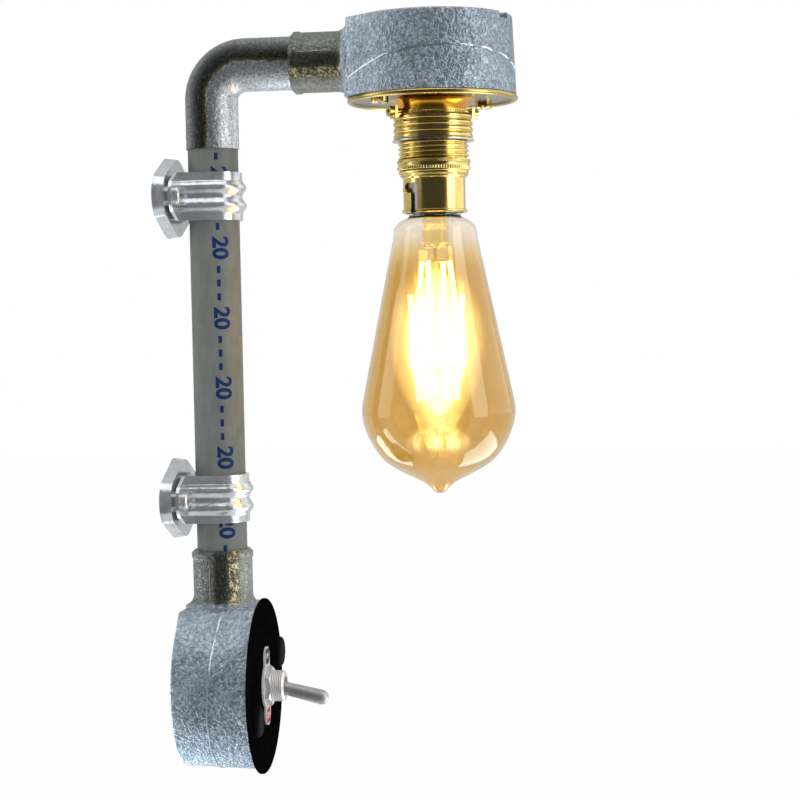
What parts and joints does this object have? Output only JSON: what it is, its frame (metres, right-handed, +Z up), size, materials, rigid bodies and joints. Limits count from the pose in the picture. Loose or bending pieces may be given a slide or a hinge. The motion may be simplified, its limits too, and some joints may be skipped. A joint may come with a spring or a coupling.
{
  "type": "industrial pipe wall light",
  "caption": "Wall light of galvanised conduit: saddles on the wall, round boxes, elbow arm, toggle switch and a brass bayonet holder with an amber filament lamp.",
  "frame": {"origin": "on the wall plane, halfway between the screws of the two saddles", "axes": "+Y into the wall, +Z up, +X to the right for someone facing the wall"},
  "size_m": [0.07, 0.141, 0.2983],
  "materials": {
    "casting": "galvanised malleable iron, slightly uneven",
    "conduit": "dull galvanised tube",
    "saddle": "bright zinc plated",
    "screw": "bright zinc plated",
    "lid": "satin black enamel",
    "lid_screw": "satin black",
    "legend": "printed sheet",
    "nickel": "nickel plated",
    "switch_steel": "zinc plated",
    "phenolic": "moulded",
    "brass": "polished",
    "carrier": "zinc plated",
    "lamp_cap": "plated",
    "solder": "smooth",
    "amber_glass": "clear tinted",
    "clear_glass": "clear",
    "filament": "phosphor coated, lit",
    "lead": "drawn wire",
    "grommet": "matt",
    "connector": "moulded",
    "live_sleeve": "brown sleeve",
    "neutral_sleeve": "blue sleeve",
    "earth_sleeve": "green and yellow sleeve"
  },
  "bodies": {
    "fixture": {"elbow": "casting", "lamp_box": "casting", "switch_box": "casting", "conduit": "conduit", "upper_saddle_base": "saddle", "upper_saddle_strap": "saddle", "lower_saddle_base": "saddle", "lower_saddle_strap": "saddle", "upper_saddle_screws": "screw", "lower_saddle_screws": "screw", "switch_lid": "lid", "lid_screws": "lid_screw", "legend_plate": "legend", "switch_nut": "nickel", "lock_washer": "nickel", "switch_bush": "nickel", "pivot_pin": "nickel", "switch_frame": "switch_steel", "plunger_springs": "switch_steel", "switch_body": "phenolic", "holder_block": "phenolic", "back_plate": "brass", "plate_screws": "brass", "union_ring": "brass", "cover_screws": "brass", "skirt": "brass", "holder_terminals": "brass", "earth_terminal": "brass", "switch_terminals": "brass", "connector_screws": "brass", "carrier_ring": "carrier", "cable_grommet": "grommet", "connector_block": "connector", "live_wire": "live_sleeve", "link_wire": "live_sleeve", "neutral_wire": "neutral_sleeve", "earth_wire": "earth_sleeve"},
    "toggle": {"toggle_lever": "nickel"},
    "lamp": {"lamp_cap": "lamp_cap", "cap_insulator": "phenolic", "lamp_contacts": "solder", "lamp_pins": "brass", "lamp_glass": "amber_glass", "lamp_stem": "clear_glass", "filaments": "filament", "filament_wires": "lead"},
    "plungers": {"contact_plungers": "brass"},
    "shade_collar": {"shade_lip": "brass"},
    "shade_nut": {"shade_ring": "brass"}
  },
  "joints": [
    {"name": "toggle_throw", "type": "hinge", "parent": "fixture", "child": "toggle", "pos_m": [0, -0.0392, -0.136], "axis": [-1, 0, 0], "range_deg": [0, 27.6]},
    {"name": "lamp_push", "type": "slide", "parent": "fixture", "child": "lamp", "axis": [0, 0, 1], "range_m": [0, 0.0016], "stiffness_N_per_m": 1200, "springref_m": -0.003},
    {"name": "plunger_push", "type": "slide", "parent": "fixture", "child": "plungers", "axis": [0, 0, 1], "range_m": [0, 0.0016], "deforming": ["plunger_springs"]},
    {"name": "shade_rise", "type": "slide", "parent": "fixture", "child": "shade_collar", "axis": [0, 0, 1], "range_m": [0, 0.007]},
    {"name": "shade_turn", "type": "hinge", "parent": "shade_collar", "child": "shade_nut", "pos_m": [0, -0.1075, 0.07], "axis": [0, 0, 1], "range_deg": [0, 1362]}
  ],
  "couplings": [
    {"joint": "plunger_push", "follows": "lamp_push", "ratio": 1},
    {"joint": "shade_rise", "follows": "shade_turn", "m_per_rad": 0.00029444}
  ]
}
